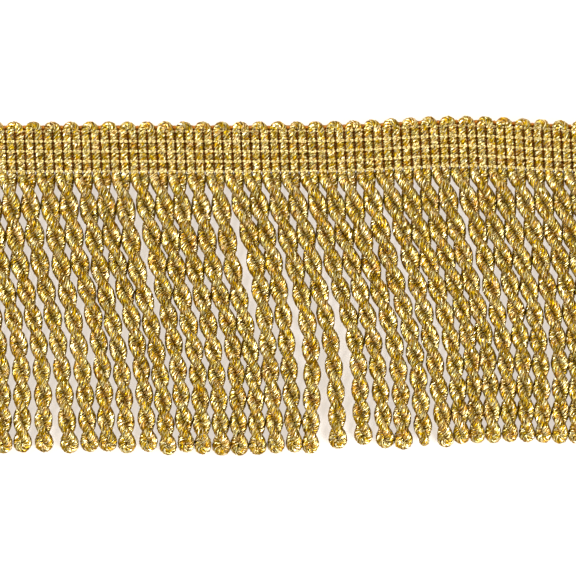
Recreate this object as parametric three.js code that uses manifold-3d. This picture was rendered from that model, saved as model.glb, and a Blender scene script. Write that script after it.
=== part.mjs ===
// A cut length of bullion cord fringe: twisted two-ply cords that hang from a knitted heading.
// Millimetres, +Z up. The trim lies on its back with its face up: X runs along the heading, and +Y
// points to the looped top edge. The origin is the middle of the heading's back.
// One yarn makes every cord: it comes down a leg of the heading, doubles back on itself as a twisted
// cord, goes up the next leg and turns over the top edge in a small loop. Rows of chain stitch run
// across the legs and hold them side by side.
import * as THREE from "three";
import Module from "manifold-3d";

// Driving dimensions
const CORD_PITCH = 3.416; // from one cord to the next along the heading
const HEADING_HEIGHT = 9.4; // from the cords' roots to the crests of the loops
const LOOP_RISE = 0.85; // how far the loops stand above the ground
const LEG_SLANT = 0.5; // how far a leg leans in X over the heading's height
const BOW_RISE = 1.04; // the heading bows upwards at one place, as it was laid down
const BOW_CENTRE = 36.3;
const BOW_REACH = 15.6;

// Heading sections
const ROOT_STRIP = 1.0; // height of the narrow strip that the cords' roots are fused into
const STRIP_THICKNESS = 1.5;
const GROUND_THICKNESS = 0.8; // the ground of inlaid threads, seen between two legs
const LEG_TOP = 1.9;
const LEG_CROWN = 0.8; // width of a leg's rounded top, drawn flat
const LOOP_EDGE = 1.1; // height of a loop's outer edge, below its rounded top
const LOOP_WIDTH = 1.5; // across the yarn of a loop
const PARTING = 0.3; // between the root strip and the heading

// Chain stitch rows
const CHAIN_ROWS = 5;
const CHAIN_PITCH = 1.815; // a fourteen-needle-per-inch machine
const CHAIN_BELOW_CREST = 1.67; // from the crests to the first row
const CHAIN_WIDTH = 0.55;
const CHAIN_THICKNESS = 0.35;
const CHAIN_CLEARANCE = 0.4; // between a chain row and the legs below it
const CHAIN_STEPS = 18; // straight steps along a row, which follow the heading's bow

// Cords: two plies side by side have a long and a short diagonal, which turn along the cord
const LONG_HALF = 1.4;
const SHORT_HALF = 0.95;
const HALF_TURNS = 10.4; // from root to tip
const TIGHTENING = 0.158; // the share of the twist that grows with the square of the length
const STEPS_PER_HALF_TURN = 3;
const ROOT_SIZE = 0.7; // size of the first section, where the chain stitch draws the plies in
const UPPER_AT = 0.31; // the two places between root and tip where a cord's lean is given,
const LOWER_AT = 0.64; // as shares of its drop
const TIP_ROUNDING = 0.5; // size of the last section, which closes the loop at the tip
const STEP_ANGLE = Math.PI / STEPS_PER_HALF_TURN;
const CORD_HEIGHT = LONG_HALF * Math.sin(STEP_ANGLE); // the lowest corners lie on the surface

// How each cord lies, from left to right: its shift in X at the upper place, the lower place and the
// tip, and its drop below the heading
const LAY_COLUMNS = ["upper", "lower", "tip", "drop"];
const LAY = [
  [2.1, 5.3, 6.0, 50.8],
  [2.1, 5.3, 6.0, 50.9],
  [2.1, 5.4, 6.1, 50.9],
  [2.1, 5.6, 6.2, 50.7],
  [2.1, 5.9, 6.7, 50.7],
  [2.4, 6.1, 8.0, 50.9],
  [2.7, 6.3, 8.2, 50.5],
  [2.8, 6.6, 8.1, 50.5],
  [2.8, 6.6, 8.1, 50.9],
  [2.7, 6.8, 8.6, 50.5],
  [2.7, 6.6, 8.9, 51.2],
  [3.2, 6.6, 8.6, 50.7],
  [3.0, 6.7, 8.2, 51.0],
  [2.8, 6.8, 8.1, 51.2],
  [2.9, 6.9, 8.0, 51.2],
  [3.0, 6.6, 7.9, 51.2],
  [4.1, 6.3, 7.9, 50.9],
  [3.7, 6.5, 7.6, 50.7],
  [4.1, 7.2, 7.2, 50.9],
  [3.9, 7.7, 8.7, 50.0],
  [4.2, 8.5, 10.1, 49.3],
  [4.2, 8.6, 10.6, 50.0],
  [4.1, 8.9, 10.5, 50.3],
  [4.2, 8.8, 10.8, 49.7],
  [4.6, 8.8, 11.3, 50.1],
  [4.4, 8.9, 10.8, 49.7],
  [4.3, 8.6, 10.3, 49.9],
  [4.1, 8.1, 9.8, 50.0],
  [4.4, 7.9, 9.4, 49.9],
  [4.3, 7.8, 8.9, 49.9],
  [4.2, 7.6, 8.4, 49.9],
  [4.3, 7.7, 8.0, 49.8],
  [4.4, 7.3, 7.6, 49.6],
  [4.3, 7.0, 7.6, 49.6],
  [4.0, 6.9, 7.5, 49.6],
  [4.0, 6.9, 7.5, 49.7],
].map((row) => Object.fromEntries(row.map((value, i) => [LAY_COLUMNS[i], value])));

const LEG_PITCH = CORD_PITCH / 2;
const LEGS = LAY.length * 2;
const HALF_HEADING = HEADING_HEIGHT / 2;
const HEADING_LENGTH = CORD_PITCH * LAY.length;
const STRIP_TOP = ROOT_STRIP - HALF_HEADING;
const LOOP_CENTRE = HALF_HEADING - LOOP_RISE - LEG_PITCH / 2;
const UP = new THREE.Vector3(0, 0, 1);

const wasm = await Module();
wasm.setup();

// Places on the heading

// A point of the straight, upright heading, moved to where it lies in the slanted and bowed one.
function laid(x, y, z = 0) {
  const bow = BOW_RISE * Math.exp(-(((x - BOW_CENTRE) / BOW_REACH) ** 2));
  return new THREE.Vector3(x - (LEG_SLANT * y) / HEADING_HEIGHT, y + bow, z);
}

function cordX(index) {
  return (index - (LAY.length - 1) / 2) * CORD_PITCH;
}

// Solids

// A closed skin over a row of rings, each a list of points anticlockwise about the direction of travel.
function loft(rings) {
  const sides = rings[0].length;
  const last = (rings.length - 1) * sides;
  const index = [];
  for (let ring = 0; ring < rings.length - 1; ring++) {
    for (let side = 0; side < sides; side++) {
      const here = ring * sides;
      const next = (side + 1) % sides;
      index.push(here + side, here + next, here + sides + next);
      index.push(here + side, here + sides + next, here + sides + side);
    }
  }
  for (let side = 1; side < sides - 1; side++) {
    index.push(0, side + 1, side);
    index.push(last, last + side, last + side + 1);
  }
  return new THREE.BufferGeometry().setFromPoints(rings.flat()).setIndex(index);
}

// One section, given as [across, up] pairs, set square to the direction of travel at a point.
function ringAt(point, travel, section) {
  const across = new THREE.Vector3().crossVectors(UP, travel).normalize();
  return section.map(([side, up]) => point.clone().addScaledVector(across, side).addScaledVector(UP, up));
}

function solidOf(geometry) {
  return new wasm.Manifold(
    new wasm.Mesh({
      numProp: 3,
      vertProperties: geometry.attributes.position.array,
      triVerts: new Uint32Array(geometry.index.array),
    }),
  );
}

function geometryOf(solid) {
  const mesh = solid.getMesh();
  return new THREE.BufferGeometry()
    .setAttribute("position", new THREE.BufferAttribute(mesh.vertProperties, 3))
    .setIndex(new THREE.BufferAttribute(mesh.triVerts, 1));
}

// The heading

// How far a place along the heading is from the middle of the nearest loop.
function fromLoop(x) {
  const turns = (x + HEADING_LENGTH / 2) / CORD_PITCH;
  return Math.abs(turns - Math.round(turns)) * CORD_PITCH;
}

// One cut across the heading: the ground or a leg's crown, and the loop that closes over the top edge.
function headingRing(x, onCrown) {
  const away = Math.min(fromLoop(x) / LEG_PITCH, 1);
  const crest = HALF_HEADING - LOOP_RISE * (1 - Math.sqrt(1 - away * away));
  const insideLoop = away < 0.5; // between the loop's own two legs
  const low = STRIP_TOP + PARTING;
  const legTop = onCrown ? LEG_TOP : GROUND_THICKNESS;
  const loopTop = onCrown || insideLoop ? LEG_TOP : GROUND_THICKNESS;
  const edgeTop = Math.min(loopTop, LOOP_EDGE);
  return [
    laid(x, low),
    laid(x, crest),
    laid(x, crest, edgeTop),
    laid(x, crest - LOOP_WIDTH / 2, loopTop),
    laid(x, LOOP_CENTRE, legTop),
    laid(x, low, legTop),
  ];
}

// The legs side by side on their ground, with the loops that join them in pairs over the top edge.
function heading() {
  const rings = [];
  for (let leg = 0; leg < LEGS; leg++) {
    const middle = (leg - (LEGS - 1) / 2) * LEG_PITCH;
    rings.push(headingRing(middle - LEG_PITCH / 2, false));
    rings.push(headingRing(middle - LEG_CROWN / 2, true));
    rings.push(headingRing(middle + LEG_CROWN / 2, true));
  }
  rings.push(headingRing(HEADING_LENGTH / 2, false));
  return loft(rings);
}

// A bar along the heading, of one section given as [y, z] pairs, which follows the heading's bow.
function barAlong(section, steps) {
  const stations = Array.from({ length: steps + 1 }, (_, i) => (i / steps - 0.5) * HEADING_LENGTH);
  return loft(stations.map((x) => section.map(([y, z]) => laid(x, y, z))));
}

// The narrow strip at the heading's lower edge, where each cord's two plies come together.
function rootStrip() {
  const section = [
    [-HALF_HEADING, 0],
    [STRIP_TOP, 0],
    [STRIP_TOP, STRIP_THICKNESS],
    [-HALF_HEADING, STRIP_THICKNESS],
  ];
  return barAlong(section, LAY.length);
}

// The cords

// The share of a cord's length at which it has made so many half turns.
function shareAfter(halfTurns) {
  const square = HALF_TURNS * TIGHTENING;
  const plain = HALF_TURNS - square;
  return (Math.sqrt(plain * plain + 4 * square * halfTurns) - plain) / (2 * square);
}

// The four corners of two plies side by side, turned by an angle.
function pliesTurned(angle, size) {
  return [LONG_HALF, SHORT_HALF, LONG_HALF, SHORT_HALF].map((reach, corner) => {
    const at = angle + (corner * Math.PI) / 2;
    return [size * reach * Math.cos(at), CORD_HEIGHT + size * reach * Math.sin(at)];
  });
}

// A cord from its root in the strip to its tip. The plies on its face run down to the right.
function twistedCord(index) {
  const { upper, lower, tip, drop } = LAY[index];
  const root = laid(cordX(index), STRIP_TOP - ROOT_STRIP / 2);
  const edge = laid(cordX(index), -HALF_HEADING);
  const path = new THREE.CatmullRomCurve3(
    [
      root,
      new THREE.Vector3(edge.x + upper, edge.y - UPPER_AT * drop, 0),
      new THREE.Vector3(edge.x + lower, edge.y - LOWER_AT * drop, 0),
      new THREE.Vector3(edge.x + tip, edge.y - drop, 0),
    ],
    false,
    "catmullrom",
    0.5,
  );
  const steps = Math.floor(HALF_TURNS * STEPS_PER_HALF_TURN);
  const rings = [];
  for (let step = 0; step <= steps; step++) {
    const share = shareAfter(step / STEPS_PER_HALF_TURN);
    const section = pliesTurned(-step * STEP_ANGLE, step === 0 ? ROOT_SIZE : 1);
    rings.push(ringAt(path.getPointAt(share), path.getTangentAt(share), section));
  }
  const end = pliesTurned(-steps * STEP_ANGLE, TIP_ROUNDING);
  rings.push(ringAt(path.getPointAt(1), path.getTangentAt(1), end));
  return loft(rings);
}

// The fringe: all cords, fused at their roots into the strip
function fringe() {
  const cords = LAY.map((_, index) => twistedCord(index));
  return geometryOf(wasm.Manifold.union([rootStrip(), ...cords].map(solidOf)));
}

// The chain stitch rows, each one thread knitted along the heading
function chainRow(row) {
  const y = HALF_HEADING - CHAIN_BELOW_CREST - row * CHAIN_PITCH;
  const foot = LEG_TOP + CHAIN_CLEARANCE;
  const section = [
    [y - CHAIN_WIDTH / 2, foot],
    [y + CHAIN_WIDTH / 2, foot],
    [y + CHAIN_WIDTH / 4, foot + CHAIN_THICKNESS],
    [y - CHAIN_WIDTH / 4, foot + CHAIN_THICKNESS],
  ];
  return barAlong(section, CHAIN_STEPS);
}

// Materials
const gimpYarn = new THREE.MeshStandardMaterial({ color: 0xc79a1e, roughness: 0.38, metalness: 0.85 });
const chainThread = new THREE.MeshStandardMaterial({ color: 0xdcb54a, roughness: 0.42, metalness: 0.7 });

// Scene graph
const trim = new THREE.Group();

function place(name, geometry, material) {
  const mesh = new THREE.Mesh(geometry, material);
  mesh.name = name;
  trim.add(mesh);
}

place("heading", heading(), gimpYarn);
place("cord_fringe", fringe(), gimpYarn);
for (let row = 0; row < CHAIN_ROWS; row++) {
  place(`chain_row_${row + 1}`, chainRow(row), chainThread);
}

export default trim;
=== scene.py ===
"""Looks of a cut length of gold bullion fringe, lying on its back on a white table.

One gimp yarn makes the whole fringe. It comes down a leg of the heading, is twisted with itself into a
cord, turns round at the cord's tip, goes up the next leg and over the top edge in a small loop. Chain
stitches hold the legs side by side, and fine ground threads lie behind them.
Sizes are in millimetres up to the place where a piece is made, and in metres from there.
"""

import math

import bpy
import numpy as np
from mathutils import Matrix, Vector


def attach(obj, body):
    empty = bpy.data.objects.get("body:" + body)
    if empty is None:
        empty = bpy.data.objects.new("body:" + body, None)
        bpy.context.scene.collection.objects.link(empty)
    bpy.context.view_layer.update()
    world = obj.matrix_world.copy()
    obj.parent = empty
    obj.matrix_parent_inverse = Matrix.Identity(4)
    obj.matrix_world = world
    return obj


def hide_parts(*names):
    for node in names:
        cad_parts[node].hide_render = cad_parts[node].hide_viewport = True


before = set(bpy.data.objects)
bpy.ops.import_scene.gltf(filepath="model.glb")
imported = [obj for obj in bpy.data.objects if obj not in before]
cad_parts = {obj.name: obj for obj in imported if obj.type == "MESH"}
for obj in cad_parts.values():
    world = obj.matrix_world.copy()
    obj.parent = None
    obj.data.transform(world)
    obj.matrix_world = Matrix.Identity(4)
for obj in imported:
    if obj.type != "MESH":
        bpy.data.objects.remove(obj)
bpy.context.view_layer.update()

MM = 0.001
SEED = 11

# The heading
CORD_PITCH = 3.416
LEG_PITCH = CORD_PITCH / 2
HEADING_HEIGHT = 9.4
HALF_HEADING = HEADING_HEIGHT / 2
LEG_SLANT = 0.5  # by which the top of a leg lies left of its bottom
LEG_RADIUS = 0.79
LEG_MIDDLE = 1.28  # height of a leg's centre line above the table
CREST_PROUD = 0.2  # by which the loops stand above the heading's top edge
LOOP_CENTRE = HALF_HEADING - LEG_PITCH / 2 - LEG_RADIUS + CREST_PROUD
LOOP_STEPS = 14
ROOT_LINE = -5.2  # where the legs end and the cords begin
ROOT_RADIUS = 0.95  # of the yarn there, below the last chain row, where it is free to swell
BOW_RISE = 1.04
BOW_CENTRE = 36.3
BOW_REACH = 15.6

# Chain stitches
CHAIN_ROWS = 5
CHAIN_PITCH = 1.815
CHAIN_BELOW_CREST = 1.67
CHAIN_LINES = HALF_HEADING - CHAIN_BELOW_CREST - CHAIN_PITCH * np.arange(CHAIN_ROWS)
CHAIN_NIP = 0.09  # share of a leg's radius that a chain stitch presses in
CHAIN_NIP_REACH = 0.32
CHAIN_FOOT = 1.6  # height of the thread in a slit between two legs
CHAIN_SHAKES = 0.6  # waves of its unevenness for each leg

# Cords
PLY_RADIUS = 0.9  # lower down, where the twist is tight
SLACK_RADIUS = 0.97  # the same below the heading, where the twist is slack
PLY_OFFSET = 0.79  # from the cord's middle to the middle of a ply, lower down
SLACK_OFFSET = 0.86  # the same below the heading
TIP_OFFSET = 0.86  # the same in the open loop at a cord's tip, if its neighbours leave room
LEAST_TIP_OFFSET = 0.5
TIP_PRESS = 0.1  # by which a tip may press into the space of its neighbour
TIP_OPENING = 0.75  # half turns above the tip over which the loop opens
TIP_STEPS = 18
SLACK_SHARES = (0.15, 0.6)  # of a cord's length, between which the slack twist turns tight
HALF_TURNS = 10
EDGEWISE_CORD = 23  # its tip is seen from the edge, so it has half of a half turn more
TIGHTENING = 0.15  # share of the turns that gather towards the tip
SPREAD_SHARE = 0.1  # of a cord's length, over which its plies come together from two legs
RISE_SHARE = 0.06  # the same, for the height of its middle
SWELL_SHARE = 0.05  # the same, for its plies' radius
LIFT = 0.1  # of the lowest plies off the table
UPPER_AT = 0.31
LOWER_AT = 0.64
CURVE_SAMPLES = 200
ROUTE_STEP = 0.12
LEAN_ROOM = 1.1  # a leaning cord is a little longer than its drop, so it gets more steps
SMOOTHING = np.array([1, 3, 5, 6, 5, 3, 1]) / 24

# How much the cords differ from each other
TURN_SPREAD = 0.16  # half turns, at half of a cord's length
WANDER = 0.12  # to either side
WANDER_WAVES = (2, 4)  # half waves along a cord
RADIUS_SPREAD = (0.97, 1.03)

# How each cord lies, from left to right: its shift in X at an upper place, a lower place and the tip,
# and its drop below the heading
LAY_COLUMNS = ("upper", "lower", "tip", "drop")
LAY_ROWS = (
    (2.1, 5.3, 6.0, 50.8),
    (2.1, 5.3, 6.0, 50.9),
    (2.1, 5.4, 6.1, 50.9),
    (2.1, 5.6, 6.2, 50.7),
    (2.1, 5.9, 6.7, 50.7),
    (2.4, 6.1, 8.0, 50.9),
    (2.7, 6.3, 8.2, 50.5),
    (2.8, 6.6, 8.1, 50.5),
    (2.8, 6.6, 8.1, 50.9),
    (2.7, 6.8, 8.6, 50.5),
    (2.7, 6.6, 8.9, 51.2),
    (3.2, 6.6, 8.6, 50.7),
    (3.0, 6.7, 8.2, 51.0),
    (2.8, 6.8, 8.1, 51.2),
    (2.9, 6.9, 8.0, 51.2),
    (3.0, 6.6, 7.9, 51.2),
    (4.1, 6.3, 7.9, 50.9),
    (3.7, 6.5, 7.6, 50.7),
    (4.1, 7.2, 7.2, 50.9),
    (3.9, 7.7, 8.7, 50.0),
    (4.2, 8.5, 10.1, 49.3),
    (4.2, 8.6, 10.6, 50.0),
    (4.1, 8.9, 10.5, 50.3),
    (4.2, 8.8, 10.8, 49.7),
    (4.6, 8.8, 11.3, 50.1),
    (4.4, 8.9, 10.8, 49.7),
    (4.3, 8.6, 10.3, 49.9),
    (4.1, 8.1, 9.8, 50.0),
    (4.4, 7.9, 9.4, 49.9),
    (4.3, 7.8, 8.9, 49.9),
    (4.2, 7.6, 8.4, 49.9),
    (4.3, 7.7, 8.0, 49.8),
    (4.4, 7.3, 7.6, 49.6),
    (4.3, 7.0, 7.6, 49.6),
    (4.0, 6.9, 7.5, 49.6),
    (4.0, 6.9, 7.5, 49.7),
)
LAY = [dict(zip(LAY_COLUMNS, row), half_turns=HALF_TURNS) for row in LAY_ROWS]
LAY[EDGEWISE_CORD]["half_turns"] += 0.5
HEADING_LENGTH = CORD_PITCH * len(LAY)
YARN_PIECES = 4  # the one yarn is cut into lengths of like size
CREST_OVERLAP = 0.5  # turn, in radians, by which two lengths run into each other at a crest

# Threads along the heading
ALONG_POINTS = 181
GROUND_THREADS = 13
GROUND_PITCH = 0.62
GROUND_RADIUS = 0.33
GROUND_HEIGHT = 1.0
GROUND_BOTTOM = -3.8
GROUND_SHORT = 0.4  # by which the ground threads end short of the heading's ends
EDGE_RADIUS = 0.4
EDGE_LINE = 3.75
EDGE_SHORT = 0.2

# The camera looks straight down at the photo's frame
PHOTO_MM_PER_PIXEL = 0.1818
PHOTO_SIDE = 576
PHOTO_HEADING_MIDDLE = (260.4, 148.35)  # pixel of the origin
CAMERA_HEIGHT = 700.0
SENSOR = 36.0

# Table and light, in metres and watts
BOX_SIDE = 0.55
BOX_POWER = 17
TENT_STOPS = ((0.7, "#FFF8E8"), (0.93, "#443A2C"))  # by how high one looks: 1 is straight up
TENT_STRENGTH = 1.3
TABLE_HALF = 1.5


# Small helpers


def linear(hex_colour):
    """An sRGB hex colour as the linear values that nodes take."""
    values = [int(hex_colour[i : i + 2], 16) / 255 for i in (1, 3, 5)]
    return [v / 12.92 if v <= 0.04045 else ((v + 0.055) / 1.055) ** 2.4 for v in values] + [1.0]


def add(tree, kind, inputs=None, stops=(), **settings):
    """A new node with its settings, its (place, hex colour) stops, and its inputs set or linked."""
    node = tree.nodes.new(kind)
    for name, value in settings.items():
        setattr(node, name, value)
    for key, value in (inputs or {}).items():
        if isinstance(value, bpy.types.NodeSocket):
            tree.links.new(value, node.inputs[key])
        else:
            node.inputs[key].default_value = value
    if stops:
        band = node.color_ramp.elements
        band.remove(band[0])
    for i, (place, colour) in enumerate(stops):
        stop = band.new(place) if i else band[0]
        stop.position = place
        stop.color = linear(colour)
    return node


def eased(start, end, value):
    """0 before start, 1 after end, and a smooth step between."""
    t = np.clip((value - start) / (end - start), 0, 1)
    return t * t * (3 - 2 * t)


# Routes, in millimetres


def laid(x, y):
    """A place on the straight, upright heading, moved to where it lies in the slanted and bowed one."""
    bow = BOW_RISE * np.exp(-(((x - BOW_CENTRE) / BOW_REACH) ** 2))
    return np.stack([x - LEG_SLANT * y / HEADING_HEIGHT, y + bow], axis=-1)


def cord_x(index):
    return (index - (len(LAY) - 1) / 2) * CORD_PITCH


def tip_x(index):
    return cord_x(index) + LAY[index]["tip"]


def tip_offset(index):
    """How far the loop at a cord's tip can open between its neighbours."""
    others = [other for other in (index - 1, index + 1) if 0 <= other < len(LAY)]
    gap = min(abs(tip_x(other) - tip_x(index)) for other in others)
    return float(np.clip(gap / 2 - PLY_RADIUS + TIP_PRESS, LEAST_TIP_OFFSET, TIP_OFFSET))


def through(points, steps):
    """A Catmull-Rom line through a few points, evenly spaced: its points, directions and length."""
    ends = [2 * points[0] - points[1], *points, 2 * points[-1] - points[-2]]
    t = np.linspace(0, 1, CURVE_SAMPLES)[:, None]
    line = []
    for a, b, c, d in zip(ends, ends[1:], ends[2:], ends[3:]):
        first = (c - a) * t
        second = (2 * a - 5 * b + 4 * c - d) * t**2
        third = (3 * b - a - 3 * c + d) * t**3
        line.append(0.5 * (2 * b + first + second + third))
    line = np.concatenate(line)
    length = np.concatenate([[0], np.cumsum(np.linalg.norm(np.diff(line, axis=0), axis=1))])
    even = np.linspace(0, length[-1], steps)
    points = np.stack([np.interp(even, length, line[:, axis]) for axis in (0, 1)], axis=1)
    directions = np.gradient(points, axis=0)
    return points, directions / np.linalg.norm(directions, axis=1)[:, None], length[-1]


def leg_route(index, side, past=0.0):
    """Half a loop and one leg, from past the loop's crest down to the root. Side is -1 for the left leg."""
    middle = cord_x(index) + side * CORD_PITCH / 2
    turn = np.linspace(math.pi / 2 + past, 0, LOOP_STEPS)
    x = middle - side * LEG_PITCH / 2 * np.cos(turn)
    y = LOOP_CENTRE + LEG_PITCH / 2 * np.sin(turn)
    down = np.arange(LOOP_CENTRE - ROUTE_STEP, ROOT_LINE, -ROUTE_STEP)
    x = np.concatenate([x, np.full(len(down), x[-1])])
    y = np.concatenate([y, down])
    nip = np.exp(-(((y[:, None] - CHAIN_LINES) / CHAIN_NIP_REACH) ** 2)).sum(axis=1)
    radius = LEG_RADIUS * (1 - CHAIN_NIP * nip)
    radius = radius + (ROOT_RADIUS - LEG_RADIUS) * eased(CHAIN_LINES[-1], ROOT_LINE, y)
    return np.column_stack([laid(x, y), np.full(len(x), LEG_MIDDLE), radius])


def ply_route(index, random):
    """Down the left ply of a cord, round the tip and up the right ply, from root to root."""
    row = LAY[index]
    edge = laid(cord_x(index), -HALF_HEADING)
    points = [
        laid(cord_x(index), ROOT_LINE),
        edge + (row["upper"], -UPPER_AT * row["drop"]),
        edge + (row["lower"], -LOWER_AT * row["drop"]),
        edge + (row["tip"], -row["drop"]),
    ]
    open_tip = tip_offset(index)
    steps = int(row["drop"] * LEAN_ROOM / ROUTE_STEP)
    line, direction, length = through(points, steps)
    share = np.linspace(0, 1, steps) / (1 - (open_tip + PLY_RADIUS) / length)
    kept = share <= 1
    line, direction, share = line[kept], direction[kept], share[kept]
    across = np.column_stack([-direction[:, 1], direction[:, 0]])
    half_turns = row["half_turns"] * ((1 - TIGHTENING) * share + TIGHTENING * share**2)
    half_turns = half_turns + random.uniform(-TURN_SPREAD, TURN_SPREAD) * np.sin(math.pi * share)
    wander = random.uniform(-WANDER, WANDER)
    wander = wander * np.sin(math.pi * share * random.uniform(*WANDER_WAVES))
    line = line + across * wander[:, None]
    slack = 1 - eased(*SLACK_SHARES, share)
    size = (PLY_RADIUS + (SLACK_RADIUS - PLY_RADIUS) * slack) * random.uniform(*RADIUS_SPREAD)
    radius = ROOT_RADIUS + (size - ROOT_RADIUS) * eased(0, SWELL_SHARE, share)
    to_tip = eased(row["half_turns"] - TIP_OPENING, row["half_turns"], half_turns)
    offset = PLY_OFFSET + (SLACK_OFFSET - PLY_OFFSET) * slack
    offset = offset + (LEG_PITCH / 2 - offset) * (1 - eased(0, SPREAD_SHARE, share))
    offset = offset + (open_tip - offset) * to_tip
    upright = abs(math.sin(math.pi * row["half_turns"]))
    tip_middle = size + LIFT + upright * open_tip
    middle = LEG_MIDDLE + (PLY_OFFSET + size - LEG_MIDDLE) * eased(0, RISE_SHARE, share)
    middle = middle + (tip_middle - middle) * to_tip

    def ply(phase):
        angle = phase - math.pi * half_turns
        flat = line + across * (offset * np.cos(angle))[:, None]
        height = np.maximum(middle + offset * np.sin(angle), radius + LIFT)
        return np.column_stack([flat, height, radius])

    left = ply(math.pi)
    right = ply(0)
    swing = np.linspace(0, math.pi, TIP_STEPS)[1:-1]
    heart = (left[-1, :3] + right[-1, :3]) / 2
    reach = left[-1, :3] - heart
    down = np.append(direction[-1], 0) * np.linalg.norm(reach)
    bend = heart + np.cos(swing)[:, None] * reach + np.sin(swing)[:, None] * down
    bend = np.column_stack([bend, np.full(len(bend), size[-1])])
    return np.concatenate([left, bend, right[::-1]])


def yarn_route(cords, random):
    """The yarn's one line through several neighbouring cords, smoothed where it changes direction."""
    parts = []
    for index in cords:
        before = CREST_OVERLAP if index == cords[0] and index > 0 else 0.0
        after = CREST_OVERLAP if index == cords[-1] and index < len(LAY) - 1 else 0.0
        parts += [leg_route(index, -1, before), ply_route(index, random), leg_route(index, 1, after)[::-1]]
    beyond = len(SMOOTHING) // 2
    line = np.pad(np.concatenate(parts), ((beyond, beyond), (0, 0)), mode="edge")
    return np.column_stack([np.convolve(column, SMOOTHING, mode="valid") for column in line.T])


def line_along(y, height, short=0.0):
    """A line along the heading at one place across it, which follows the bow."""
    x = np.linspace(-HEADING_LENGTH / 2 + short, HEADING_LENGTH / 2 - short, ALONG_POINTS)
    flat = laid(x, np.full(len(x), y))
    return np.column_stack([flat, np.full(len(x), height), np.ones(len(x))])


# Geometry Nodes

MATH = "ShaderNodeMath"
VECTOR_MATH = "ShaderNodeVectorMath"
CAPTURE = "GeometryNodeCaptureAttribute"
STORE = "GeometryNodeStoreNamedAttribute"
LOOSE_TURN = 0.5  # the most by which the winding of a yarn runs ahead


def new_tree(name, sizes):
    """A Geometry Nodes tree with a geometry and a material input, and one input for each named size."""
    tree = bpy.data.node_groups.new(name, "GeometryNodeTree")
    tree.interface.new_socket("Geometry", in_out="INPUT", socket_type="NodeSocketGeometry")
    for size, kind in sizes.items():
        tree.interface.new_socket(size, in_out="INPUT", socket_type=kind)
    tree.interface.new_socket("Material", in_out="INPUT", socket_type="NodeSocketMaterial")
    tree.interface.new_socket("Geometry", in_out="OUTPUT", socket_type="NodeSocketGeometry")
    return tree, tree.nodes.new("NodeGroupInput").outputs


def end_tree(tree, geometry, material):
    """Smooth shading, real geometry and the material, at the end of every tree."""
    smooth = add(tree, "GeometryNodeSetShadeSmooth", {"Geometry": geometry})
    real = add(tree, "GeometryNodeRealizeInstances", {"Geometry": smooth.outputs[0]})
    finish = add(tree, "GeometryNodeSetMaterial", {"Geometry": real.outputs[0], "Material": material})
    add(tree, "NodeGroupOutput", {"Geometry": finish.outputs[0]})


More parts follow.
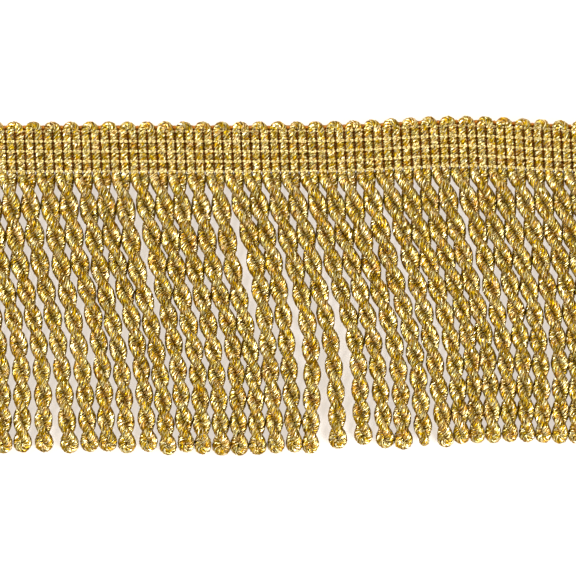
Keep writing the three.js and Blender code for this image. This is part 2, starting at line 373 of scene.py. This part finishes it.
def gimp_tree():
    """Metallic threads wound round a core: a ridged section, turned along the yarn's route."""
    sizes = {
        "Ring spacing": "NodeSocketFloat",
        "Threads": "NodeSocketInt",
        "Points a thread": "NodeSocketInt",
        "Groove depth": "NodeSocketFloat",
        "Turn length": "NodeSocketFloat",
        "Unevenness": "NodeSocketFloat",
        "Seed": "NodeSocketInt",
    }
    tree, given = new_tree("gimp_yarn", sizes)

    # The route, turned as the threads wind
    route = add(tree, "GeometryNodeMeshToCurve", {"Mesh": given["Geometry"]}).outputs[0]
    spacing = {"Curve": route, "Length": given["Ring spacing"]}
    even = add(tree, "GeometryNodeResampleCurve", spacing, mode="LENGTH").outputs[0]
    along = add(tree, "GeometryNodeSplineParameter").outputs["Length"]
    wound = add(tree, MATH, {0: along, 1: given["Turn length"]}, operation="DIVIDE").outputs[0]
    winding = {"W": wound, "Scale": 1.0, "Detail": 1.0}
    loose = add(tree, "ShaderNodeTexNoise", winding, noise_dimensions="1D").outputs["Fac"]
    more = add(tree, MATH, {0: loose, 1: LOOSE_TURN}, operation="MULTIPLY").outputs[0]
    turns = add(tree, MATH, {0: wound, 1: more}, operation="ADD").outputs[0]
    tilt = add(tree, MATH, {0: turns, 1: 2 * math.pi}, operation="MULTIPLY").outputs[0]
    turned = add(tree, "GeometryNodeSetCurveTilt", {"Curve": even, "Tilt": tilt}).outputs[0]
    marked = add(tree, CAPTURE, {"Geometry": turned}, domain="POINT")
    marked.capture_items.new("FLOAT", "along")
    tree.links.new(along, marked.inputs["along"])

    # The section, with a groove between each two threads
    points = {0: given["Threads"], 1: given["Points a thread"]}
    count = add(tree, MATH, points, operation="MULTIPLY").outputs[0]
    ring = add(tree, "GeometryNodeCurvePrimitiveCircle", {"Resolution": count, "Radius": 1.0}).outputs[0]
    around = add(tree, "GeometryNodeSplineParameter").outputs["Factor"]
    threads = add(tree, MATH, {0: around, 1: given["Threads"]}, operation="MULTIPLY").outputs[0]
    phase = add(tree, MATH, {0: threads, 1: 2 * math.pi}, operation="MULTIPLY").outputs[0]
    shifted = add(tree, MATH, {0: phase, 1: math.pi / 3}, operation="ADD").outputs[0]
    wave = add(tree, MATH, {0: shifted}, operation="COSINE").outputs[0]
    ridge = add(tree, "ShaderNodeMapRange", {"Value": wave, "From Min": -1.0, "From Max": 0.5}).outputs[0]
    groove = add(tree, MATH, {0: 1.0, 1: ridge}, operation="SUBTRACT").outputs[0]
    sunk = add(tree, MATH, {0: groove, 1: given["Groove depth"]}, operation="MULTIPLY").outputs[0]
    reach = add(tree, MATH, {0: 1.0, 1: sunk}, operation="SUBTRACT").outputs[0]
    place = add(tree, "GeometryNodeInputPosition").outputs[0]
    scaled = add(tree, VECTOR_MATH, {0: place, "Scale": reach}, operation="SCALE").outputs[0]
    ridged = add(tree, "GeometryNodeSetPosition", {"Geometry": ring, "Position": scaled}).outputs[0]
    known = add(tree, CAPTURE, {"Geometry": ridged}, domain="POINT")
    known.capture_items.new("VECTOR", "place")
    known.capture_items.new("FLOAT", "ridge")
    tree.links.new(place, known.inputs["place"])
    tree.links.new(ridge, known.inputs["ridge"])

    # The skin, a little uneven
    named = add(tree, "GeometryNodeInputNamedAttribute", {"Name": "yarn_radius"}, data_type="FLOAT")
    radius = named.outputs[0]
    curves = {"Curve": marked.outputs["Geometry"], "Profile Curve": known.outputs["Geometry"]}
    skin = add(tree, "GeometryNodeCurveToMesh", curves | {"Scale": radius, "Fill Caps": True}).outputs[0]
    low = add(tree, MATH, {0: given["Unevenness"], 1: -1.0}, operation="MULTIPLY").outputs[0]
    limits = {2: low, 3: given["Unevenness"], "Seed": given["Seed"]}
    chance = add(tree, "FunctionNodeRandomValue", limits, data_type="FLOAT").outputs[1]
    outward = add(tree, "GeometryNodeInputNormal").outputs[0]
    lift = add(tree, VECTOR_MATH, {0: outward, "Scale": chance}, operation="SCALE").outputs[0]
    uneven = add(tree, "GeometryNodeSetPosition", {"Geometry": skin, "Offset": lift}).outputs[0]

    # What the material reads: a place on the film, and how near a thread's ridge it is
    split = add(tree, "ShaderNodeSeparateXYZ", {0: known.outputs["place"]}).outputs
    film_x = add(tree, MATH, {0: split[0], 1: radius}, operation="MULTIPLY").outputs[0]
    film_y = add(tree, MATH, {0: split[1], 1: radius}, operation="MULTIPLY").outputs[0]
    film = add(tree, "ShaderNodeCombineXYZ", {0: film_x, 1: film_y, 2: marked.outputs["along"]}).outputs[0]
    film_place = {"Geometry": uneven, "Name": "film_place", "Value": film}
    placed = add(tree, STORE, film_place, data_type="FLOAT_VECTOR", domain="POINT").outputs[0]
    thread_ridge = {"Geometry": placed, "Name": "thread_ridge", "Value": known.outputs["ridge"]}
    whole = add(tree, STORE, thread_ridge, data_type="FLOAT", domain="POINT").outputs[0]
    end_tree(tree, whole, given["Material"])
    return tree


def chain_tree():
    """Two strands that part into two links over each leg and run thin across the slit to the next."""
    sizes = {
        "Leg pitch": "NodeSocketFloat",
        "Row start": "NodeSocketFloat",
        "Steps a leg": "NodeSocketInt",
        "Link height": "NodeSocketFloat",
        "Arch": "NodeSocketFloat",
        "Cross over": "NodeSocketFloat",
        "Link radius": "NodeSocketFloat",
        "Thin radius": "NodeSocketFloat",
        "Thread sides": "NodeSocketInt",
        "Unevenness": "NodeSocketFloat",
    }
    tree, given = new_tree("chain_stitch_row", sizes)
    route = add(tree, "GeometryNodeMeshToCurve", {"Mesh": given["Geometry"]}).outputs[0]
    steps = {0: given["Leg pitch"], 1: given["Steps a leg"]}
    step = add(tree, MATH, steps, operation="DIVIDE").outputs[0]
    spacing = {"Curve": route, "Length": step}
    even = add(tree, "GeometryNodeResampleCurve", spacing, mode="LENGTH").outputs[0]
    pair = add(tree, "GeometryNodeDuplicateElements", {"Geometry": even, "Amount": 2}, domain="SPLINE")
    strand = pair.outputs["Duplicate Index"]

    # Where each strand goes: side to side and up over the legs
    place = add(tree, "GeometryNodeInputPosition").outputs[0]
    x = add(tree, "ShaderNodeSeparateXYZ", {0: place}).outputs[0]
    gone = add(tree, MATH, {0: x, 1: given["Row start"]}, operation="SUBTRACT").outputs[0]
    legs = add(tree, MATH, {0: gone, 1: given["Leg pitch"]}, operation="DIVIDE").outputs[0]
    phase = add(tree, MATH, {0: legs, 1: math.pi}, operation="MULTIPLY").outputs[0]
    doubled = add(tree, MATH, {0: strand, 1: 2.0}, operation="MULTIPLY").outputs[0]
    side = add(tree, MATH, {0: 1.0, 1: doubled}, operation="SUBTRACT").outputs[0]
    twice = add(tree, MATH, {0: phase, 1: 2.0}, operation="MULTIPLY").outputs[0]
    link = add(tree, MATH, {0: twice}, operation="SINE").outputs[0]
    sided = add(tree, MATH, {0: side, 1: link}, operation="MULTIPLY").outputs[0]
    across = add(tree, MATH, {0: sided, 1: given["Link height"]}, operation="MULTIPLY").outputs[0]
    wave = add(tree, MATH, {0: phase}, operation="SINE").outputs[0]
    over = add(tree, MATH, {0: wave}, operation="ABSOLUTE").outputs[0]
    rounded = add(tree, MATH, {0: over}, operation="SQRT").outputs[0]
    arch = add(tree, MATH, {0: rounded, 1: given["Arch"]}, operation="MULTIPLY").outputs[0]
    swap = add(tree, MATH, {0: phase}, operation="COSINE").outputs[0]
    cross = add(tree, MATH, {0: swap, 1: given["Cross over"]}, operation="MULTIPLY").outputs[0]
    crossed = add(tree, MATH, {0: cross, 1: side}, operation="MULTIPLY").outputs[0]
    up = add(tree, MATH, {0: arch, 1: crossed}, operation="ADD").outputs[0]
    offset = add(tree, "ShaderNodeCombineXYZ", {1: across, 2: up}).outputs[0]
    unlike = {"Vector": place, "Scale": CHAIN_SHAKES / (LEG_PITCH * MM), "Detail": 1.0}
    noise = add(tree, "ShaderNodeTexNoise", unlike).outputs["Color"]
    centred = add(tree, VECTOR_MATH, {0: noise, 1: (0.5, 0.5, 0.5)}, operation="SUBTRACT").outputs[0]
    shake = {0: centred, "Scale": given["Unevenness"]}
    uneven = add(tree, VECTOR_MATH, shake, operation="SCALE").outputs[0]
    moved = add(tree, VECTOR_MATH, {0: offset, 1: uneven}, operation="ADD").outputs[0]

    # How thick it is: swollen in the links and thin between
    swell = add(tree, MATH, {0: link}, operation="ABSOLUTE").outputs[0]
    radii = {0: given["Link radius"], 1: given["Thin radius"]}
    widening = add(tree, MATH, radii, operation="SUBTRACT").outputs[0]
    wider = add(tree, MATH, {0: swell, 1: widening}, operation="MULTIPLY").outputs[0]
    radius = add(tree, MATH, {0: wider, 1: given["Thin radius"]}, operation="ADD").outputs[0]
    sized = add(tree, CAPTURE, {"Geometry": pair.outputs[0]}, domain="POINT")
    sized.capture_items.new("FLOAT", "radius")
    sized.capture_items.new("FLOAT", "swell")
    tree.links.new(radius, sized.inputs["radius"])
    tree.links.new(swell, sized.inputs["swell"])

    strands = add(tree, "GeometryNodeSetPosition", {"Geometry": sized.outputs["Geometry"], "Offset": moved})
    round_section = {"Resolution": given["Thread sides"], "Radius": 1.0}
    ring = add(tree, "GeometryNodeCurvePrimitiveCircle", round_section)
    curves = {"Curve": strands.outputs[0], "Profile Curve": ring.outputs[0]}
    thickness = {"Scale": sized.outputs["radius"], "Fill Caps": True}
    skin = add(tree, "GeometryNodeCurveToMesh", curves | thickness).outputs[0]
    link_swell = {"Geometry": skin, "Name": "link_swell", "Value": sized.outputs["swell"]}
    whole = add(tree, STORE, link_swell, data_type="FLOAT", domain="POINT").outputs[0]
    end_tree(tree, whole, given["Material"])
    return tree


def ground_tree():
    """Fine threads laid side by side behind the legs."""
    sizes = {
        "Threads": "NodeSocketInt",
        "Thread pitch": "NodeSocketFloat",
        "Thread radius": "NodeSocketFloat",
        "Thread sides": "NodeSocketInt",
    }
    tree, given = new_tree("ground_threads", sizes)
    route = add(tree, "GeometryNodeMeshToCurve", {"Mesh": given["Geometry"]}).outputs[0]
    copies = {"Geometry": route, "Amount": given["Threads"]}
    many = add(tree, "GeometryNodeDuplicateElements", copies, domain="SPLINE")
    rank = {0: many.outputs["Duplicate Index"], 1: given["Thread pitch"]}
    up = add(tree, MATH, rank, operation="MULTIPLY").outputs[0]
    offset = add(tree, "ShaderNodeCombineXYZ", {1: up}).outputs[0]
    spread = add(tree, "GeometryNodeSetPosition", {"Geometry": many.outputs[0], "Offset": offset})
    round_section = {"Resolution": given["Thread sides"], "Radius": given["Thread radius"]}
    ring = add(tree, "GeometryNodeCurvePrimitiveCircle", round_section)
    curves = {"Curve": spread.outputs[0], "Profile Curve": ring.outputs[0], "Fill Caps": True}
    skin = add(tree, "GeometryNodeCurveToMesh", curves).outputs[0]
    end_tree(tree, skin, given["Material"])
    return tree


def made(name, route, tree, values):
    """A plain mesh piece: a tree run on a route, with its inputs set by their identifiers."""
    mesh = bpy.data.meshes.new(name + "_route")
    edges = [(i, i + 1) for i in range(len(route) - 1)]
    mesh.from_pydata((route[:, :3] * MM).tolist(), edges, [])
    mesh.attributes.new("yarn_radius", "FLOAT", "POINT").data.foreach_set("value", route[:, 3] * MM)
    source = bpy.data.objects.new(name + "_route", mesh)
    bpy.context.scene.collection.objects.link(source)
    modifier = source.modifiers.new("tree", "NODES")
    modifier.node_group = tree
    for socket in tree.interface.items_tree:
        if socket.in_out == "INPUT" and socket.name in values:
            modifier[socket.identifier] = values[socket.name]
    bpy.context.view_layer.update()
    result = source.evaluated_get(bpy.context.evaluated_depsgraph_get())
    plain = bpy.data.meshes.new_from_object(result)
    plain.name = name
    source.modifiers.clear()
    bpy.data.objects.remove(source)
    piece = bpy.data.objects.new(name, plain)
    bpy.context.scene.collection.objects.link(piece)
    return piece


# Materials

# The film's real flats are finer than a pixel of the render. These are drawn coarser, so that they show.
FILM_WIDTH = 0.17  # across one flat of the film
FILM_LENGTH = 0.32  # along one flat, before the film twists away
FILM_LEAN = 0.75  # how far a flat can lean from the yarn's surface
PALE_FLATS = (0.66, 0.73)  # chances between which a flat turns from gold to pale
TINT_PATCH = 1.6  # width of the patches where the gold is greener or redder
GLITTER = 0.25  # width of a sewing thread's flats, also coarser than the real ones
GLITTER_DEPTH = 0.05
TABLE_CLOUD = 40.0  # width of the faint clouds in the table's white


def new_material(name):
    material = bpy.data.materials.new(name)
    material.use_nodes = True
    tree = material.node_tree
    tree.nodes.clear()
    shader = add(tree, "ShaderNodeBsdfPrincipled")
    add(tree, "ShaderNodeOutputMaterial", {"Surface": shader.outputs[0]})
    return material, tree, shader


def gimp_material():
    """Metallised polyester film, slit and wound over a core yarn.

    The film lies in small flats that each mirror another part of the room, so the yarn glitters: most
    flats are gold or brown, and some are pale and smoother. The colour is darkened towards the bottom of
    each hollow between its threads, as painted shade. A thin lacquer gives a few white glints, and loose
    fibres lighten the edges.
    """
    material, tree, shader = new_material("metallised_polyester_gimp")
    film = add(tree, "ShaderNodeAttribute", attribute_name="film_place").outputs["Vector"]
    scale = (1 / (FILM_WIDTH * MM), 1 / (FILM_WIDTH * MM), 1 / (FILM_LENGTH * MM))
    flats = add(tree, VECTOR_MATH, {0: film, 1: scale}, operation="MULTIPLY").outputs[0]
    cells = add(tree, "ShaderNodeTexVoronoi", {"Vector": flats, "Scale": 1.0, "Randomness": 1.0})
    chance = add(tree, "ShaderNodeSeparateXYZ", {0: cells.outputs["Color"]}).outputs[2]

    golds = (
        (0.0, "#341600"),
        (0.3, "#806202"),
        (PALE_FLATS[0], "#BC9A0E"),
        (PALE_FLATS[1], "#CCC080"),
        (1.0, "#EAE4C0"),
    )
    gold = add(tree, "ShaderNodeValToRGB", {"Fac": chance}, stops=golds).outputs[0]
    place = add(tree, "ShaderNodeTexCoord").outputs["Object"]
    patch = {"Vector": place, "Scale": 1 / (TINT_PATCH * MM), "Detail": 3.0}
    patches = add(tree, "ShaderNodeTexNoise", patch).outputs["Fac"]
    tints = ((0.32, "#B4B850"), (0.5, "#FFFFFF"), (0.68, "#F2B868"))
    tint = add(tree, "ShaderNodeValToRGB", {"Fac": patches}, stops=tints).outputs[0]
    half = {"Factor": 0.5, 6: gold, 7: tint}
    tinted = add(tree, "ShaderNodeMix", half, data_type="RGBA", blend_type="MULTIPLY").outputs[2]
    ridge = add(tree, "ShaderNodeAttribute", attribute_name="thread_ridge").outputs["Fac"]
    # painted shade: the base colour turns dark brown towards each groove's bottom between the threads
    painted_groove_shade = ((0.0, "#7A4000"), (0.5, "#FFFFFF"))
    depth = add(tree, "ShaderNodeValToRGB", {"Fac": ridge}, stops=painted_groove_shade).outputs[0]
    full = {"Factor": 1.0, 6: tinted, 7: depth}
    base = add(tree, "ShaderNodeMix", full, data_type="RGBA", blend_type="MULTIPLY").outputs[2]
    tree.links.new(base, shader.inputs["Base Color"])

    chances = {"Value": chance, "From Min": PALE_FLATS[0], "From Max": PALE_FLATS[1]}
    rough = add(tree, "ShaderNodeMapRange", chances | {"To Min": 0.5, "To Max": 0.38}).outputs[0]
    tree.links.new(rough, shader.inputs["Roughness"])
    middle = {0: cells.outputs["Color"], 1: (0.5, 0.5, 0.5)}
    centred = add(tree, VECTOR_MATH, middle, operation="SUBTRACT").outputs[0]
    leaning = add(tree, VECTOR_MATH, {0: centred, "Scale": FILM_LEAN}, operation="SCALE").outputs[0]
    normal = add(tree, "ShaderNodeNewGeometry").outputs["Normal"]
    leant = add(tree, VECTOR_MATH, {0: normal, 1: leaning}, operation="ADD").outputs[0]
    unit = add(tree, VECTOR_MATH, {0: leant}, operation="NORMALIZE").outputs[0]
    tree.links.new(unit, shader.inputs["Normal"])
    shader.inputs["Metallic"].default_value = 1.0
    shader.inputs["Specular Tint"].default_value = linear("#F0CC78")
    shader.inputs["Coat Weight"].default_value = 0.08
    shader.inputs["Coat Roughness"].default_value = 0.12
    shader.inputs["Coat IOR"].default_value = 1.65
    shader.inputs["Sheen Weight"].default_value = 0.16
    shader.inputs["Sheen Roughness"].default_value = 0.4
    shader.inputs["Sheen Tint"].default_value = linear("#E8B84C")
    return material


def thread_material(name, dark, light, roughness, thin=None):
    """Fine lustrous thread, of metallic film or bright viscose, with a small glitter.

    Where a chain stitch is drawn thin across a slit between two legs, it is darkened as painted shade.
    """
    material, tree, shader = new_material(name)
    place = add(tree, "ShaderNodeTexCoord").outputs["Object"]
    cells = add(tree, "ShaderNodeTexVoronoi", {"Vector": place, "Scale": 1 / (GLITTER * MM)})
    chance = add(tree, "ShaderNodeSeparateXYZ", {0: cells.outputs["Color"]}).outputs
    lustre = ((0.0, dark), (1.0, light))
    base = add(tree, "ShaderNodeValToRGB", {"Fac": chance[0]}, stops=lustre).outputs[0]
    # painted shade: the thin colour darkens the thread where it runs thin across the slits between legs
    if thin:
        swell = add(tree, "ShaderNodeAttribute", attribute_name="link_swell").outputs["Fac"]
        painted_slit_shade = ((0.1, thin), (0.6, "#FFFFFF"))
        drawn = add(tree, "ShaderNodeValToRGB", {"Fac": swell}, stops=painted_slit_shade).outputs[0]
        full = {"Factor": 1.0, 6: base, 7: drawn}
        base = add(tree, "ShaderNodeMix", full, data_type="RGBA", blend_type="MULTIPLY").outputs[2]
    tree.links.new(base, shader.inputs["Base Color"])
    relief = {"Height": chance[1], "Strength": 0.3, "Distance": GLITTER_DEPTH * MM}
    bump = add(tree, "ShaderNodeBump", relief).outputs[0]
    tree.links.new(bump, shader.inputs["Normal"])
    shader.inputs["Metallic"].default_value = 0.85
    shader.inputs["Roughness"].default_value = roughness
    return material


def table_material():
    """Back-lit white acrylic, as under cut-out photographs: pale even between the cords."""
    material, tree, shader = new_material("backlit_acrylic_table")
    place = add(tree, "ShaderNodeTexCoord").outputs["Object"]
    noise = add(tree, "ShaderNodeTexNoise", {"Vector": place, "Scale": 1 / (TABLE_CLOUD * MM)})
    whites = ((0.3, "#A29E9C"), (0.7, "#A6A2A0"))
    colour = add(tree, "ShaderNodeValToRGB", {"Fac": noise.outputs["Fac"]}, stops=whites).outputs[0]
    tree.links.new(colour, shader.inputs["Base Color"])
    shader.inputs["Roughness"].default_value = 0.8
    shader.inputs["Emission Color"].default_value = linear("#FFF6EC")
    shader.inputs["Emission Strength"].default_value = 0.66
    return material


# The pieces

random = np.random.default_rng(SEED)
gimp_yarn = gimp_tree()
GIMP_SIZES = {
    "Ring spacing": 0.3 * MM,
    "Threads": 6,
    "Points a thread": 3,
    "Groove depth": 0.07,  # share of the yarn's radius
    "Turn length": 3.3 * MM,
    "Unevenness": 0.06 * MM,
    "Seed": SEED,
    "Material": gimp_material(),
}
for number, group in enumerate(np.array_split(np.arange(len(LAY)), YARN_PIECES), start=1):
    length = made(f"fringe_yarn_{number}", yarn_route(group, random), gimp_yarn, GIMP_SIZES)
    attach(length, "root")
    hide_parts("cord_fringe", "heading")

chain_stitches = chain_tree()
CHAIN_SIZES = {
    "Leg pitch": LEG_PITCH * MM,
    "Steps a leg": 12,
    "Link height": 0.14 * MM,
    "Arch": 0.36 * MM,
    "Cross over": 0.05 * MM,
    "Link radius": 0.15 * MM,
    "Thin radius": 0.03 * MM,
    "Thread sides": 6,
    "Unevenness": 0.16 * MM,
    # the thin colour is painted shade in the slits between legs
    "Material": thread_material("metallic_chain_thread", "#A08C48", "#DACB94", 0.36, thin="#8C5014"),
}
# The first row is finer than the others and lies deeper over the legs
FIRST_ROW_SIZES = {"Arch": 0.24 * MM, "Link radius": 0.07 * MM}
for row, y in enumerate(CHAIN_LINES):
    line = line_along(y, CHAIN_FOOT)
    sizes = CHAIN_SIZES | {"Row start": float(line[0, 0]) * MM}
    if row == 0:
        sizes |= FIRST_ROW_SIZES
    stitches = made(f"chain_stitches_{row + 1}", line, chain_stitches, sizes)
    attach(stitches, "root")
    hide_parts(f"chain_row_{row + 1}")

ground_sizes = {
    "Threads": GROUND_THREADS,
    "Thread pitch": GROUND_PITCH * MM,
    "Thread radius": GROUND_RADIUS * MM,
    "Thread sides": 8,
    "Material": thread_material("viscose_ground_thread", "#8A4C0A", "#BC7820", 0.6),
}
ground_line = line_along(GROUND_BOTTOM, GROUND_HEIGHT, GROUND_SHORT)
ground = made("ground_threads", ground_line, ground_tree(), ground_sizes)
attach(ground, "root")
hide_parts("heading")

edge_line = line_along(EDGE_LINE, EDGE_RADIUS, EDGE_SHORT)
edge_line[:, 3] = EDGE_RADIUS
edge_sizes = GIMP_SIZES | {
    "Threads": 3,
    "Turn length": 1.6 * MM,
    "Material": thread_material("metallic_edge_thread", "#8A5A08", "#B08424", 0.45),
}
edge = made("top_edge_thread", edge_line, gimp_yarn, edge_sizes)
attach(edge, "root")
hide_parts("heading")

# Table, light and camera

table_mesh = bpy.data.meshes.new("table")
corners = [(x * TABLE_HALF, y * TABLE_HALF, 0) for x, y in ((-1, -1), (1, -1), (1, 1), (-1, 1))]
table_mesh.from_pydata(corners, [], [(0, 1, 2, 3)])
table = bpy.data.objects.new("table", table_mesh)
table.data.materials.append(table_material())
bpy.context.scene.collection.objects.link(table)

MIDDLE = (
    (PHOTO_SIDE / 2 - PHOTO_HEADING_MIDDLE[0]) * PHOTO_MM_PER_PIXEL * MM,
    (PHOTO_HEADING_MIDDLE[1] - PHOTO_SIDE / 2) * PHOTO_MM_PER_PIXEL * MM,
)


def add_soft_box(name, place):
    """A square soft box at a place in metres, turned towards the middle of the picture."""
    lamp = bpy.data.lights.new(name, "AREA")
    lamp.shape = "SQUARE"
    lamp.size = BOX_SIDE
    lamp.energy = BOX_POWER
    light = bpy.data.objects.new(name, lamp)
    light.location = place
    direction = Vector((*MIDDLE, 0)) - Vector(place)
    light.rotation_euler = direction.to_track_quat("-Z", "Y").to_euler()
    bpy.context.scene.collection.objects.link(light)


add_soft_box("far_left_box", (-0.62, 0.6, 0.6))
add_soft_box("near_right_box", (0.65, -0.62, 0.6))

# A white tent all round, with a dim opening overhead for the camera
world = bpy.data.worlds.new("studio_tent")
bpy.context.scene.world = world
world.use_nodes = True
tent = world.node_tree
outlook = add(tent, "ShaderNodeTexCoord").outputs["Generated"]
tent_height = add(tent, "ShaderNodeSeparateXYZ", {0: outlook}).outputs[2]
tent_colour = add(tent, "ShaderNodeValToRGB", {"Fac": tent_height}, stops=TENT_STOPS).outputs[0]
background = tent.nodes["Background"]
tent.links.new(tent_colour, background.inputs["Color"])
background.inputs["Strength"].default_value = TENT_STRENGTH

camera_data = bpy.data.cameras.new("camera")
camera_data.sensor_width = SENSOR
camera_data.lens = SENSOR * CAMERA_HEIGHT / (PHOTO_SIDE * PHOTO_MM_PER_PIXEL)
camera_data.clip_start = 0.01
camera = bpy.data.objects.new("camera", camera_data)
camera.location = (*MIDDLE, CAMERA_HEIGHT * MM)
bpy.context.scene.collection.objects.link(camera)
bpy.context.scene.camera = camera
bpy.context.scene.view_settings.view_transform = "Standard"
